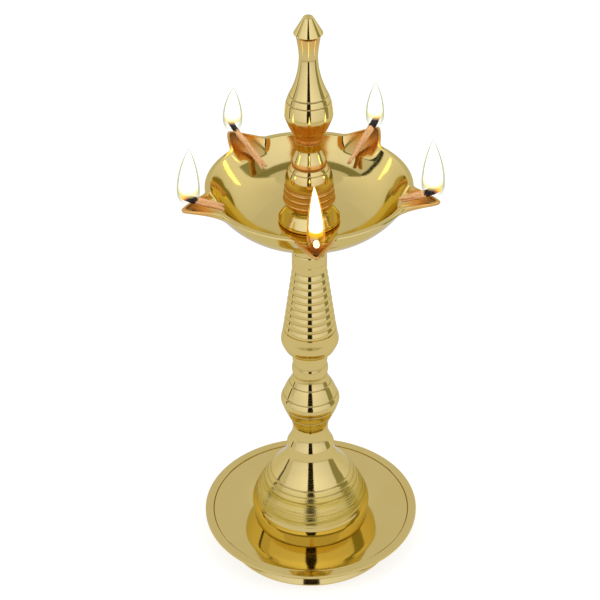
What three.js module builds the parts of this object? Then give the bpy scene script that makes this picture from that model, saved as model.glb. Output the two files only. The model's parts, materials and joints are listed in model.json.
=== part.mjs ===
// A standing five-wick oil lamp of turned brass, in millimetres, +Z up.
// A hollow bell-shaped base carries a knop, a ribbed column, a shallow bowl with
// five pinched spouts, and a two-part finial. Short threaded studs join the
// sections, and a cotton wick lies in each spout.
// The lamp's axis is vertical. It stands a little behind the origin, so that the
// floor rectangle of the whole lamp is centred on the origin.
// A rise is the height of one place on an outline above the place before it.

import * as THREE from 'three';

// Base: foot ring, drip plate and bell, one hollow casting
const PLATE_R = 60;
const PLATE_HEIGHT = 18;
const PLATE_EDGE = 1.6;
const PLATE_DISH = 4.5;
const PLATE_RIM_WIDTH = 4.75;
const FOOT_R = 48.2;
const FOOT_WIDTH = 3;
const FOOT_WAIST_R = 45;
const FOOT_HEIGHT = 12;
const BASE_WALL = 2.6;
const BELL_R = 33;
const BELL_FOOT_R = 31.4;
const BELL_SKIRT = 10.4;
const BELL_RISE = 41.1;
const CROWN_R = 12.3;
const CROWN_THICKNESS = 6;
const BELL_LINE_DROP = 18.8;
const BELL_LINE_PITCH = 2.9;
const BELL_LINE_COUNT = 3;

// Knop section
const KNOP_FOOT_R = 13.05;
const KNOP_FOOT_EDGE = 0.5;
const KNOP_NECK_R = 9.8;
const KNOP_NECK_RISE = 10.5;
const KNOP_LOWER_RING_R = 12.7;
const KNOP_LOWER_RING_RISE = 9.9;
const KNOP_UPPER_RING_R = 15.2;
const KNOP_UPPER_RING_RISE = 6.4;
const KNOP_BELLY_R = 16.1;
const KNOP_BELLY_RISE = 3.9;
const KNOP_SHOULDER_R = 14.9;
const KNOP_SHOULDER_RISE = 3.6;
const KNOP_COLLAR_R = 9.6;
const KNOP_COLLAR_RISE = 12.6;
const KNOP_BEAD = 0.3;
const KNOP_BEAD_HALF = 2.4;
const KNOP_BEAD_RISE = 3.5;
const KNOP_NECK_LENGTH = 12.2;

// Ribbed column
const COLUMN_SEAT_R = 10.4;
const CUP_EDGE_R = 13.3;
const CUP_EDGE_RISE = 1.8;
const CUP_LINE_RISE = 1.8;
const CUP_R = 15.55;
const CUP_RISE = 6.9;
const CUP_LIP_R = 14.4;
const CUP_LIP_RISE = 6.3;
const RIB_COUNT = 9;
const RIB_PITCH = 4.24;
const RIB_DEPTH = 0.45;
const COLUMN_TOP_R = 9.3;
const COLUMN_TOP_LENGTH = 25.8;
const COLUMN_LINE_DROP = 14.5;

// Bowl
const BOWL_R = 53.4;
const BOWL_HEIGHT = 25;
const BOWL_BOSS_R = 14;
const BOWL_FLOOR = 3;
const BOWL_RIM_WIDTH = 2.5;
const BOWL_LIP = 0.5;

// Spouts, pinched out of the bowl's rim: depths are below the rim
const SPOUT_COUNT = 5;
const SPOUT_LENGTH = 15;
const SPOUT_HALF_ANGLE = 11;
const SPOUT_TIP_WALL = 3;
const SPOUT_UNDER_WALL = 1.3;
const SPOUT_TIP_ROUND = 0.09;
const SPOUT_FLARE = 1.2;
const CHANNEL_DEPTH = 6.7;
const CHANNEL_TIP_DEPTH = 0.6;

// Finial, lower part
const FINIAL_FOOT_R = 14.9;
const FINIAL_FOOT_EDGE = 0.8;
const FINIAL_COVE_R = 12.95;
const FINIAL_COVE_RISE = 6.2;
const FINIAL_STEP_R = 13.5;
const FINIAL_STEP_RISE = 5.4;
const FINIAL_STEP_COUNT = 3;
const FINIAL_STEP_PITCH = 3.4;
const FINIAL_STEP_FALL = 0.55;
const FINIAL_STEP_CUT = 0.5;
const FINIAL_BULGE_R = 11.9;
const FINIAL_BULGE_RISE = 6.4;
const FINIAL_SHOULDER_R = 8.7;
const FINIAL_SHOULDER_RISE = 6.7;
const FINIAL_FLARE_R = 9.1;
const FINIAL_FLARE_RISE = 1.6;
const FINIAL_WAIST_R = 6.7;
const FINIAL_WAIST_RISE = 9.1;
const FINIAL_TOP_R = 7.6;
const FINIAL_TOP_RISE = 4.2;

// Finial, upper part
const BOTTLE_COLLAR_R = 8.15;
const BOTTLE_COLLAR_RISE = 1;
const BOTTLE_NECK_R = 7.8;
const BOTTLE_NECK_RISE = 2.2;
const BOTTLE_BELLY_R = 12.3;
const BOTTLE_BELLY_RISE = 12;
const BOTTLE_SLOPE_R = 9.8;
const BOTTLE_SLOPE_RISE = 10.2;
const BOTTLE_LINE_PITCH = 3.5;
const BOTTLE_THROAT_R = 4.78;
const BOTTLE_THROAT_RISE = 20.2;
const BOTTLE_MOUTH_R = 6.15;
const BOTTLE_MOUTH_RISE = 12;
const SPIRE_R = 7.2;
const SPIRE_EDGE_RISE = 1.5;
const SPIRE_LENGTH = 9.3;
const SPIRE_TIP_R = 2.1;

// Turned lines: V-shaped grooves
const LINE_WIDTH = 1;
const LINE_DEPTH = 0.35;

// Studs, nut and washers
const STUD_R = 4;
const STUD_CLEARANCE = 0.3;
const STUD_CHAMFER = 0.6;
const THREAD_ENGAGED = 12;
const FINIAL_STUD_R = 3;
const FINIAL_THREAD_ENGAGED = 12;
const SEAT_GAP = 0.1;
const NUT_ACROSS_FLATS = 13;
const NUT_HEIGHT = 6.5;
const NUT_TAIL = 2.5;
const WASHER_R = 8.6;
const WASHER_THICKNESS = 1.2;
const UPPER_SEAL_R = 13.4;
const LOWER_SEAL_R = 8.8;
const SEAL_THICKNESS = 0.9;

// Wicks: twisted cotton, each lying in its spout and rising towards its tip
const WICK_R = 2.05;
const WICK_TIP_R = 1.15;
const WICK_LENGTH = 35;
const WICK_CHAR_LENGTH = 9;
const WICK_SLOPE = 26;
const WICK_CLEARANCE = 0.4;
const WICK_PAST_SPOUT = 0.8;
const WICK_CURL = 0.8;
const WICK_END_ROUND = 0.8;

// Facets: how finely the turned and bent surfaces are cut
const PLATE_SEGMENTS = 40;
const STEM_SEGMENTS = 24;
const STUD_SEGMENTS = 12;
const SPOUT_STEPS = 5;
const RIM_STEPS = 3;
const BOWL_WALL_STEPS = 6;
const WICK_SEGMENTS = 8;
const WICK_RINGS = 8;

// Heights of the places along each section, above the section's own seat
const KNOP_NECK_Z = KNOP_FOOT_EDGE + KNOP_NECK_RISE;
const KNOP_LOWER_RING_Z = KNOP_NECK_Z + KNOP_LOWER_RING_RISE;
const KNOP_UPPER_RING_Z = KNOP_LOWER_RING_Z + KNOP_UPPER_RING_RISE;
const KNOP_BELLY_Z = KNOP_UPPER_RING_Z + KNOP_BELLY_RISE;
const KNOP_SHOULDER_Z = KNOP_BELLY_Z + KNOP_SHOULDER_RISE;
const KNOP_COLLAR_Z = KNOP_SHOULDER_Z + KNOP_COLLAR_RISE;
const KNOP_BEAD_Z = KNOP_COLLAR_Z + KNOP_BEAD_RISE;
const KNOP_HEIGHT = KNOP_BEAD_Z + KNOP_NECK_LENGTH;
const CUP_Z = CUP_EDGE_RISE + CUP_RISE;
const RIB_START_Z = CUP_Z + CUP_LIP_RISE;
const RIB_END_Z = RIB_START_Z + RIB_COUNT * RIB_PITCH;
const COLUMN_HEIGHT = RIB_END_Z + COLUMN_TOP_LENGTH;
const FINIAL_STEP_Z = FINIAL_FOOT_EDGE + FINIAL_COVE_RISE + FINIAL_STEP_RISE;
const FINIAL_STEPS_LENGTH = (FINIAL_STEP_COUNT - 1) * FINIAL_STEP_PITCH;
const FINIAL_BULGE_Z = FINIAL_STEP_Z + FINIAL_STEPS_LENGTH + FINIAL_BULGE_RISE;
const FINIAL_SHOULDER_Z = FINIAL_BULGE_Z + FINIAL_SHOULDER_RISE;
const FINIAL_FLARE_Z = FINIAL_SHOULDER_Z + FINIAL_FLARE_RISE;
const FINIAL_WAIST_Z = FINIAL_FLARE_Z + FINIAL_WAIST_RISE;
const FINIAL_BASE_HEIGHT = FINIAL_WAIST_Z + FINIAL_TOP_RISE;
const BOTTLE_NECK_Z = BOTTLE_COLLAR_RISE + BOTTLE_NECK_RISE;
const BOTTLE_BELLY_Z = BOTTLE_NECK_Z + BOTTLE_BELLY_RISE;
const BOTTLE_SLOPE_Z = BOTTLE_BELLY_Z + BOTTLE_SLOPE_RISE;
const BOTTLE_THROAT_Z = BOTTLE_SLOPE_Z + BOTTLE_THROAT_RISE;
const BOTTLE_MOUTH_Z = BOTTLE_THROAT_Z + BOTTLE_MOUTH_RISE;
const SPIRE_Z = BOTTLE_MOUTH_Z + SPIRE_EDGE_RISE;
const FINIAL_TOP_HEIGHT = SPIRE_Z + SPIRE_LENGTH;

// Heights above the table
const PLATE_Z = PLATE_HEIGHT - PLATE_DISH;
const SKIRT_Z = PLATE_Z + BELL_SKIRT;
const CROWN_Z = SKIRT_Z + BELL_RISE;
const CROWN_UNDER_Z = CROWN_Z - CROWN_THICKNESS;
const KNOP_SEAT_Z = CROWN_Z + SEAT_GAP;
const COLUMN_SEAT_Z = KNOP_SEAT_Z + KNOP_HEIGHT + SEAT_GAP;
const COLUMN_TOP_Z = COLUMN_SEAT_Z + COLUMN_HEIGHT;
const LOWER_SEAL_Z = COLUMN_TOP_Z + SEAT_GAP;
const BOWL_SEAT_Z = LOWER_SEAL_Z + SEAL_THICKNESS + SEAT_GAP;
const UPPER_SEAL_Z = BOWL_SEAT_Z + BOWL_FLOOR + SEAT_GAP;
const FINIAL_SEAT_Z = UPPER_SEAL_Z + SEAL_THICKNESS + SEAT_GAP;
const FINIAL_TOP_SEAT_Z = FINIAL_SEAT_Z + FINIAL_BASE_HEIGHT + SEAT_GAP;

// Bores for the studs
const SOCKET_R = STUD_R + STUD_CLEARANCE;
const SOCKET_DEPTH = THREAD_ENGAGED + STUD_CLEARANCE;
const FINIAL_SOCKET_R = FINIAL_STUD_R + STUD_CLEARANCE;
const FINIAL_SOCKET_DEPTH = FINIAL_THREAD_ENGAGED + STUD_CLEARANCE;

// The spouts' tips reach furthest forward, and the plate's edge furthest back
const SPOUT_TIP_R = BOWL_R + SPOUT_LENGTH;
const SPOUT_STEP = 360 / SPOUT_COUNT;
const AXIS_BACK = (SPOUT_TIP_R - PLATE_R) / 2;

const brass = { color: 0xd9b45c, roughness: 0.16, metalness: 1 };
const castBrass = { color: 0xb8954c, roughness: 0.5, metalness: 1 };
const steel = { color: 0x9a9a98, roughness: 0.4, metalness: 1 };
const rubber = { color: 0x2b2724, roughness: 0.8, metalness: 0 };
const cotton = { color: 0xc98a54, roughness: 0.9, metalness: 0 };

const radians = THREE.MathUtils.degToRad;
const mix = THREE.MathUtils.lerp;
const point = (radius, height) => new THREE.Vector2(radius, height);

// A smooth turned stretch through [radius, height] places.
function curve(places, steps) {
  const points = places.map(([radius, height]) => point(radius, height));
  return new THREE.SplineCurve(points).getPoints(steps);
}

// The radius of a rising outline at one height.
function radiusAt(outline, height) {
  const above = Math.max(1, outline.findIndex((p) => p.y >= height));
  const low = outline[above - 1];
  const high = outline[above];
  return THREE.MathUtils.mapLinear(height, low.y, high.y, low.x, high.x);
}

// The same outline with a point at each of these heights.
function stationed(outline, heights) {
  const kept = outline.filter((p) => heights.every((z) => Math.abs(p.y - z) > BOWL_LIP));
  const added = heights.map((z) => point(radiusAt(outline, z), z));
  return [...kept, ...added].sort((a, b) => a.y - b.y);
}

// The same outline with a turned line cut into it at each height.
function lined(outline, heights) {
  const half = LINE_WIDTH / 2;
  const kept = outline.filter((p) => heights.every((z) => Math.abs(p.y - z) > half));
  const cuts = heights.flatMap((z) => [
    point(radiusAt(outline, z - half), z - half),
    point(radiusAt(outline, z) - LINE_DEPTH, z),
    point(radiusAt(outline, z + half), z + half),
  ]);
  return [...kept, ...cuts].sort((a, b) => a.y - b.y);
}

// A turned piece: its profile goes up outside and down inside, round the Z axis.
function turned(profile, segments) {
  const geometry = new THREE.LatheGeometry(profile, segments);
  geometry.rotateX(Math.PI / 2);
  return geometry;
}

// A stem section: its outline, with a threaded socket in its foot and in its head.
function section(outline, foot, head) {
  const height = outline[outline.length - 1].y;
  const profile = [
    point(0, foot.depth),
    point(foot.radius, foot.depth),
    point(foot.radius, 0),
    ...outline,
  ];
  if (head) {
    profile.push(point(head.radius, height));
    profile.push(point(head.radius, height - head.depth));
    profile.push(point(0, height - head.depth));
  } else {
    profile.push(point(0, height));
  }
  return turned(profile, STEM_SEGMENTS);
}

// A stud with chamfered ends.
function stud(radius, length) {
  const profile = [
    point(0, 0),
    point(radius - STUD_CHAMFER, 0),
    point(radius, STUD_CHAMFER),
    point(radius, length - STUD_CHAMFER),
    point(radius - STUD_CHAMFER, length),
    point(0, length),
  ];
  return turned(profile, STUD_SEGMENTS);
}

// A flat ring.
function ring(inner, outer, thickness) {
  const profile = [
    point(inner, 0),
    point(outer, 0),
    point(outer, thickness),
    point(inner, thickness),
    point(inner, 0),
  ];
  return turned(profile, STUD_SEGMENTS);
}

// A hexagon nut, bored for the stud.
function nut() {
  const corner = NUT_ACROSS_FLATS / 2 / Math.cos(Math.PI / 6);
  const outline = new THREE.Shape();
  for (let side = 0; side < 6; side += 1) {
    const turn = (side * Math.PI) / 3;
    const x = corner * Math.cos(turn);
    const y = corner * Math.sin(turn);
    if (side === 0) outline.moveTo(x, y);
    else outline.lineTo(x, y);
  }
  outline.closePath();
  const bore = new THREE.Path();
  bore.absarc(0, 0, SOCKET_R, 0, 2 * Math.PI, true);
  outline.holes.push(bore);
  return new THREE.ExtrudeGeometry(outline, {
    depth: NUT_HEIGHT,
    bevelEnabled: false,
    curveSegments: STUD_SEGMENTS,
  });
}

// The bell: an S-shaped sweep from the skirt in and up to the crown, each place
// given as its share of the way out and of the way up.
function bellOutline() {
  const sweep = [
    [1, 0],
    [0.903, 0.177],
    [0.671, 0.407],
    [0.493, 0.545],
    [0.217, 0.717],
    [0.053, 0.867],
    [0, 1],
  ];
  return curve(sweep.map(([out, up]) => [mix(CROWN_R, BELL_R, out), mix(SKIRT_Z, CROWN_Z, up)]), 12);
}

// The foot's outside, flared towards the table, from the table up.
function footOutline() {
  return curve(
    [
      [FOOT_R, 0],
      [mix(FOOT_WAIST_R, FOOT_R, 0.42), FOOT_HEIGHT * 0.35],
      [FOOT_WAIST_R, FOOT_HEIGHT * 0.9],
    ],
    4,
  );
}

// The plate's dished top, from the line inside its rim down to the bell's foot.
function dish() {
  const lineR = PLATE_R - PLATE_RIM_WIDTH;
  return curve(
    [
      [lineR - LINE_WIDTH / 2, PLATE_HEIGHT - LINE_DEPTH],
      [mix(BELL_FOOT_R, lineR, 0.6), mix(PLATE_Z, PLATE_HEIGHT, 0.65)],
      [mix(BELL_FOOT_R, lineR, 0.3), mix(PLATE_Z, PLATE_HEIGHT, 0.34)],
      [BELL_FOOT_R, PLATE_Z],
    ],
    6,
  );
}

// The bell's skirt, drawn in a little towards the plate, from the plate up.
function skirt() {
  return [
    point(BELL_FOOT_R, PLATE_Z),
    point(mix(BELL_FOOT_R, BELL_R, 0.56), mix(PLATE_Z, SKIRT_Z, 0.43)),
    point(mix(BELL_FOOT_R, BELL_R, 0.94), mix(PLATE_Z, SKIRT_Z, 0.85)),
  ];
}

// The hollow base: flared foot, dished plate, skirt, bell and crown.
function base() {
  const bell = bellOutline();
  const lines = [];
  for (let line = 0; line < BELL_LINE_COUNT; line += 1) {
    lines.push(CROWN_Z - BELL_LINE_DROP - line * BELL_LINE_PITCH);
  }
  const inner = (p) => point(p.x - BASE_WALL, p.y);
  const lining = bell
    .filter((p, i) => i % 2 === 0 && p.y < CROWN_UNDER_Z - LINE_WIDTH)
    .map(inner)
    .reverse();
  const half = LINE_WIDTH / 2;
  const grooveR = PLATE_R - PLATE_RIM_WIDTH;
  const foot = footOutline();
  const wall = skirt();
  const footInner = foot.map((p) => point(p.x - FOOT_WIDTH, p.y)).reverse();
  const profile = [
    ...foot,
    point(mix(FOOT_WAIST_R, PLATE_R, 0.1), mix(FOOT_HEIGHT, PLATE_HEIGHT, 0.2)),
    point(mix(FOOT_WAIST_R, PLATE_R, 0.35), mix(FOOT_HEIGHT, PLATE_HEIGHT, 0.42)),
    point(mix(FOOT_WAIST_R, PLATE_R, 0.87), PLATE_HEIGHT - 1.3 * PLATE_EDGE),
    point(PLATE_R, PLATE_HEIGHT - PLATE_EDGE),
    point(PLATE_R, PLATE_HEIGHT),
    point(grooveR + half, PLATE_HEIGHT),
    point(grooveR, PLATE_HEIGHT - 2 * LINE_DEPTH),
    ...dish(),
    ...wall.slice(1),
    ...lined(bell, lines),
    point(SOCKET_R, CROWN_Z),
    point(SOCKET_R, CROWN_UNDER_Z),
    point(radiusAt(bell, CROWN_UNDER_Z) - BASE_WALL, CROWN_UNDER_Z),
    ...lining,
    inner(wall[2]),
    inner(wall[1]),
    point(BELL_FOOT_R - BASE_WALL, PLATE_Z - BASE_WALL + LINE_DEPTH),
    point(FOOT_WAIST_R - FOOT_WIDTH, FOOT_HEIGHT + LINE_WIDTH),
    ...footInner,
    foot[0].clone(),
  ];
  return turned(profile, PLATE_SEGMENTS);
}

// The knop: flared foot, stacked rings, belly, shoulder and beaded collar.
function knop() {
  const flare = curve(
    [
      [KNOP_FOOT_R, KNOP_FOOT_EDGE],
      [mix(KNOP_NECK_R, KNOP_FOOT_R, 0.36), mix(KNOP_FOOT_EDGE, KNOP_NECK_Z, 0.4)],
      [KNOP_NECK_R, KNOP_NECK_Z],
      [mix(KNOP_NECK_R, KNOP_LOWER_RING_R, 0.3), mix(KNOP_NECK_Z, KNOP_LOWER_RING_Z, 0.5)],
      [KNOP_LOWER_RING_R, KNOP_LOWER_RING_Z],
    ],
    8,
  );
  const belly = curve(
    [
      [KNOP_UPPER_RING_R, KNOP_UPPER_RING_Z],
      [KNOP_BELLY_R, KNOP_BELLY_Z],
      [KNOP_SHOULDER_R, KNOP_SHOULDER_Z],
      [mix(KNOP_COLLAR_R, KNOP_SHOULDER_R, 0.47), mix(KNOP_SHOULDER_Z, KNOP_COLLAR_Z, 0.49)],
      [mix(KNOP_COLLAR_R, KNOP_SHOULDER_R, 0.08), mix(KNOP_SHOULDER_Z, KNOP_COLLAR_Z, 0.81)],
      [KNOP_COLLAR_R, KNOP_COLLAR_Z],
    ],
    10,
  );
  const outline = [
    point(KNOP_FOOT_R - KNOP_FOOT_EDGE, 0),
    ...flare,
    ...belly,
    point(KNOP_COLLAR_R, KNOP_BEAD_Z - KNOP_BEAD_HALF),
    point(KNOP_COLLAR_R + KNOP_BEAD, KNOP_BEAD_Z),
    point(KNOP_COLLAR_R, KNOP_BEAD_Z + KNOP_BEAD_HALF),
    point(KNOP_COLLAR_R, KNOP_HEIGHT),
  ];
  const middle = mix(KNOP_SHOULDER_Z, KNOP_COLLAR_Z, 0.6);
  const lines = [KNOP_LOWER_RING_Z, KNOP_UPPER_RING_Z, KNOP_SHOULDER_Z, middle];
  const socket = { radius: SOCKET_R, depth: SOCKET_DEPTH };
  return section(lined(outline, lines), socket, socket);
}

// The column: a cup, a tapering stack of beads, and a plain neck.
function column() {
  const cup = curve(
    [
      [CUP_EDGE_R, CUP_EDGE_RISE],
      [mix(CUP_EDGE_R, CUP_R, 0.7), mix(CUP_EDGE_RISE, CUP_Z, 0.5)],
      [CUP_R, CUP_Z],
      [CUP_LIP_R, mix(CUP_Z, RIB_START_Z, 0.67)],
    ],
    6,
  );
  const ribs = [];
  for (let step = 0; step <= 2 * RIB_COUNT; step += 1) {
    const share = step / (2 * RIB_COUNT);
    const cut = step % 2 === 0 ? RIB_DEPTH : 0;
    ribs.push(point(mix(CUP_LIP_R, COLUMN_TOP_R, share) - cut, mix(RIB_START_Z, RIB_END_Z, share)));
  }
  const outline = [
    point(COLUMN_SEAT_R, 0),
    ...cup,
    ...ribs,
    point(COLUMN_TOP_R, RIB_END_Z + RIB_PITCH / 2),
    point(COLUMN_TOP_R, COLUMN_HEIGHT),
  ];
  const lines = [CUP_EDGE_RISE + CUP_LINE_RISE, COLUMN_HEIGHT - COLUMN_LINE_DROP];
  const socket = { radius: SOCKET_R, depth: SOCKET_DEPTH };
  return section(lined(outline, lines), socket, socket);
}

// The inside of the bowl's wall, from the flat floor up to the rim.
function bowlInside() {
  const rim = BOWL_R - BOWL_RIM_WIDTH;
  return curve(
    [
      [BOWL_BOSS_R, BOWL_FLOOR],
      [rim * 0.43, mix(BOWL_FLOOR, BOWL_HEIGHT, 0.03)],
      [rim * 0.618, mix(BOWL_FLOOR, BOWL_HEIGHT, 0.147)],
      [rim * 0.762, mix(BOWL_FLOOR, BOWL_HEIGHT, 0.33)],
      [rim * 0.885, BOWL_HEIGHT * 0.665],
      [rim, BOWL_HEIGHT - BOWL_LIP],
    ],
    BOWL_WALL_STEPS,
  );
}

// The outside of the bowl's wall, from the flat under the boss up to the rim.
function bowlOutside() {
  return curve(
    [
      [BOWL_BOSS_R, 0],
      [BOWL_R * 0.45, BOWL_HEIGHT * 0.06],
      [BOWL_R * 0.6, BOWL_HEIGHT * 0.16],
      [BOWL_R * 0.75, BOWL_HEIGHT * 0.33],
      [BOWL_R * 0.885, BOWL_HEIGHT * 0.61],
      [BOWL_R, BOWL_HEIGHT - 2 * BOWL_LIP],
    ],
    BOWL_WALL_STEPS,
  );
}

// Where the bottom line of a spout's channel leaves the bowl's wall, where it
// ends behind the tip, and its slope.
function channelLine() {
  const startZ = BOWL_HEIGHT - CHANNEL_DEPTH;
  const start = point(radiusAt(bowlInside(), startZ), startZ);
  const end = point(SPOUT_TIP_R - SPOUT_TIP_WALL, BOWL_HEIGHT - CHANNEL_TIP_DEPTH);
  return { start, end, slope: (end.y - start.y) / (end.x - start.x) };
}

// How much of a spout's length is left at an angle from its middle line: 1 on
// the line, 0 beyond the half angle, with a rounded tip and a flared root.
function spoutShare(degrees) {
  const across = Math.abs(degrees) / SPOUT_HALF_ANGLE;
  const rounded = Math.hypot(across, SPOUT_TIP_ROUND) - SPOUT_TIP_ROUND;
  return Math.max(0, 1 - rounded) ** SPOUT_FLARE;
}

// Angles round the bowl, close together across each spout.
function bowlAngles() {
  const half = [];
  for (let step = 0; step < SPOUT_STEPS; step += 1) {
    half.push(SPOUT_HALF_ANGLE * (step / SPOUT_STEPS) ** 1.3);
  }
  for (let step = 0; step <= RIM_STEPS; step += 1) {
    half.push(mix(SPOUT_HALF_ANGLE * (1 + 2 * SPOUT_TIP_ROUND), SPOUT_STEP / 2, step / RIM_STEPS));
  }
  const mirrored = half.slice(1, -1).map((angle) => SPOUT_STEP - angle).reverse();
  const angles = [];
  for (let spout = 0; spout < SPOUT_COUNT; spout += 1) {
    angles.push(...[...half, ...mirrored].map((angle) => angle + spout * SPOUT_STEP));
  }
  return angles;
}

// The bowl: a closed ring of wall points, where the points near the rim are
// pulled outwards at each spout until the channel's bottom runs along its line.
function bowl() {
  const { start, end, slope } = channelLine();
  const underZ = start.y - SPOUT_UNDER_WALL;
  const keelStartR = radiusAt(bowlOutside(), underZ);
  const keelTipZ = Math.min(underZ + slope * (SPOUT_TIP_R - keelStartR), BOWL_HEIGHT - 2 * BOWL_LIP);
  const outsideWall = stationed(bowlOutside(), [underZ, keelTipZ]);
  const insideWall = stationed(bowlInside(), [start.y, end.y]).reverse();
  const pulled = (from, fromZ, toZ, tipR, p) => {
    const share = THREE.MathUtils.clamp((p.y - fromZ) / (toZ - fromZ), 0, 1);
    return Math.max(0, mix(from, tipR, share) - p.x) * Math.sign(share);
  };
  const outside = (p) => ({
    radius: p.x,
    height: p.y,
    pull: pulled(keelStartR, underZ, keelTipZ, SPOUT_TIP_R, p),
  });
  const inside = (p) => ({
    radius: p.x,
    height: p.y,
    pull: pulled(start.x, start.y, end.y, end.x, p),
  });
  const wall = [
    outside(point(SOCKET_R, 0)),
    ...outsideWall.map(outside),
    outside(point(BOWL_R - BOWL_LIP, BOWL_HEIGHT)),
    inside(point(BOWL_R - BOWL_RIM_WIDTH + BOWL_LIP, BOWL_HEIGHT)),
    ...insideWall.map(inside),
    inside(point(SOCKET_R, BOWL_FLOOR)),
  ];
  const angles = bowlAngles();
  const positions = [];
  for (const angle of angles) {
    const offset = angle - Math.round(angle / SPOUT_STEP) * SPOUT_STEP;
    const turn = radians(angle);
    for (const at of wall) {
      const radius = at.radius + at.pull * spoutShare(offset);
      positions.push(radius * Math.cos(turn), radius * Math.sin(turn), at.height);
    }
  }
  const index = [];
  for (let i = 0; i < angles.length; i += 1) {
    const here = i * wall.length;
    const next = ((i + 1) % angles.length) * wall.length;
    for (let j = 0; j < wall.length; j += 1) {
      const up = (j + 1) % wall.length;
      index.push(here + j, next + j, next + up);
      index.push(here + j, next + up, here + up);
    }
  }
  const geometry = new THREE.BufferGeometry();
  geometry.setAttribute('position', new THREE.Float32BufferAttribute(positions, 3));
  geometry.setIndex(index);
  geometry.computeVertexNormals();
  return geometry;
}

// The finial's lower part: foot, cove, stepped rings, bulge and flared waist.
function finialBase() {
  const coveZ = FINIAL_FOOT_EDGE + FINIAL_COVE_RISE;
  const foot = curve(
    [
      [FINIAL_FOOT_R, FINIAL_FOOT_EDGE],
      [mix(FINIAL_FOOT_R, FINIAL_COVE_R, 0.6), mix(FINIAL_FOOT_EDGE, coveZ, 0.4)],
      [FINIAL_COVE_R, coveZ],
      [FINIAL_STEP_R, FINIAL_STEP_Z],
    ],
    6,
  );
  const steps = [];
  for (let step = 0; step < FINIAL_STEP_COUNT; step += 1) {
    const crest = FINIAL_STEP_R - FINIAL_STEP_FALL * step;
    const height = FINIAL_STEP_Z + FINIAL_STEP_PITCH * step;
    if (step > 0) steps.push(point(crest, height));
    steps.push(point(crest - FINIAL_STEP_CUT, height + FINIAL_STEP_CUT));
  }
  const bulge = curve(
    [
      [FINIAL_BULGE_R - FINIAL_STEP_CUT, FINIAL_BULGE_Z - FINIAL_BULGE_RISE / 2],
      [FINIAL_BULGE_R, FINIAL_BULGE_Z],
      [mix(FINIAL_BULGE_R, FINIAL_SHOULDER_R, 0.45), mix(FINIAL_BULGE_Z, FINIAL_SHOULDER_Z, 0.65)],
      [FINIAL_SHOULDER_R, FINIAL_SHOULDER_Z],
    ],
    6,
  );
  const waist = curve(
    [
      [FINIAL_FLARE_R, FINIAL_FLARE_Z],
      [mix(FINIAL_FLARE_R, FINIAL_WAIST_R, 0.62), mix(FINIAL_FLARE_Z, FINIAL_WAIST_Z, 0.5)],
      [FINIAL_WAIST_R, FINIAL_WAIST_Z],
      [FINIAL_TOP_R, FINIAL_BASE_HEIGHT],
    ],
    6,
  );
  const outline = [
    point(FINIAL_FOOT_R - FINIAL_FOOT_EDGE / 2, 0),
    ...foot,
    ...steps,
    ...bulge,
    ...waist,
  ];
  return section(
    outline,
    { radius: SOCKET_R, depth: SOCKET_DEPTH },
    { radius: FINIAL_SOCKET_R, depth: FINIAL_SOCKET_DEPTH },
  );
}

// The finial's upper part: collar, bottle-shaped body, throat and pointed spire.
function finialTop() {
  const body = curve(
    [
      [BOTTLE_COLLAR_R, BOTTLE_COLLAR_RISE],
      [BOTTLE_NECK_R, BOTTLE_NECK_Z],
      [mix(BOTTLE_NECK_R, BOTTLE_BELLY_R, 0.55), mix(BOTTLE_NECK_Z, BOTTLE_BELLY_Z, 0.45)],
      [BOTTLE_BELLY_R, BOTTLE_BELLY_Z],
      [BOTTLE_SLOPE_R, BOTTLE_SLOPE_Z],
      [mix(BOTTLE_SLOPE_R, BOTTLE_THROAT_R, 0.6), mix(BOTTLE_SLOPE_Z, BOTTLE_THROAT_Z, 0.4)],
      [BOTTLE_THROAT_R, BOTTLE_THROAT_Z],
      [BOTTLE_MOUTH_R, BOTTLE_MOUTH_Z],
    ],
    16,
  );
  const outline = [
    point(FINIAL_TOP_R, 0),
    ...lined(body, [BOTTLE_SLOPE_Z - BOTTLE_LINE_PITCH, BOTTLE_SLOPE_Z]),
    point(SPIRE_R, SPIRE_Z),
    point(SPIRE_TIP_R, FINIAL_TOP_HEIGHT),
  ];
  return section(outline, { radius: FINIAL_SOCKET_R, depth: FINIAL_SOCKET_DEPTH }, null);
}

// A wick: a rod, thinner and curled a little upwards where it is charred, with
// its tip at the origin and its tail towards -X and downwards.
function wick() {
  const profile = [point(0, 0), point(WICK_R - WICK_END_ROUND / 2, 0)];
  for (let step = 0; step <= WICK_RINGS; step += 1) {
    const along = mix(WICK_END_ROUND, WICK_LENGTH - WICK_END_ROUND, step / WICK_RINGS);
    const charred = THREE.MathUtils.smoothstep(WICK_LENGTH - along, 0, WICK_CHAR_LENGTH);
    profile.push(point(mix(WICK_TIP_R, WICK_R, charred), along));
  }
  profile.push(point(0, WICK_LENGTH));
  const geometry = turned(profile, WICK_SEGMENTS);
  const positions = geometry.getAttribute('position');
  for (let i = 0; i < positions.count; i += 1) {
    const past = Math.max(0, positions.getZ(i) - WICK_LENGTH + WICK_CHAR_LENGTH);
    positions.setX(i, positions.getX(i) - WICK_CURL * (past / WICK_CHAR_LENGTH) ** 2);
  }
  geometry.translate(0, 0, -WICK_LENGTH);
  geometry.rotateY(radians(90 - WICK_SLOPE));
  return geometry;
}

const lamp = new THREE.Group();
lamp.position.set(0, AXIS_BACK, 0);

// Adds a named piece at a height on the lamp's axis.
function add(name, geometry, finish, height) {
  const mesh = new THREE.Mesh(geometry, new THREE.MeshStandardMaterial(finish));
  mesh.name = name;
  mesh.position.set(0, 0, height);
  lamp.add(mesh);
  return mesh;
}

// Adds a stud from one height on the lamp's axis to another.
function addStud(name, radius, from, to) {
  add(name, stud(radius, to - from), brass, from);
}

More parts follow.
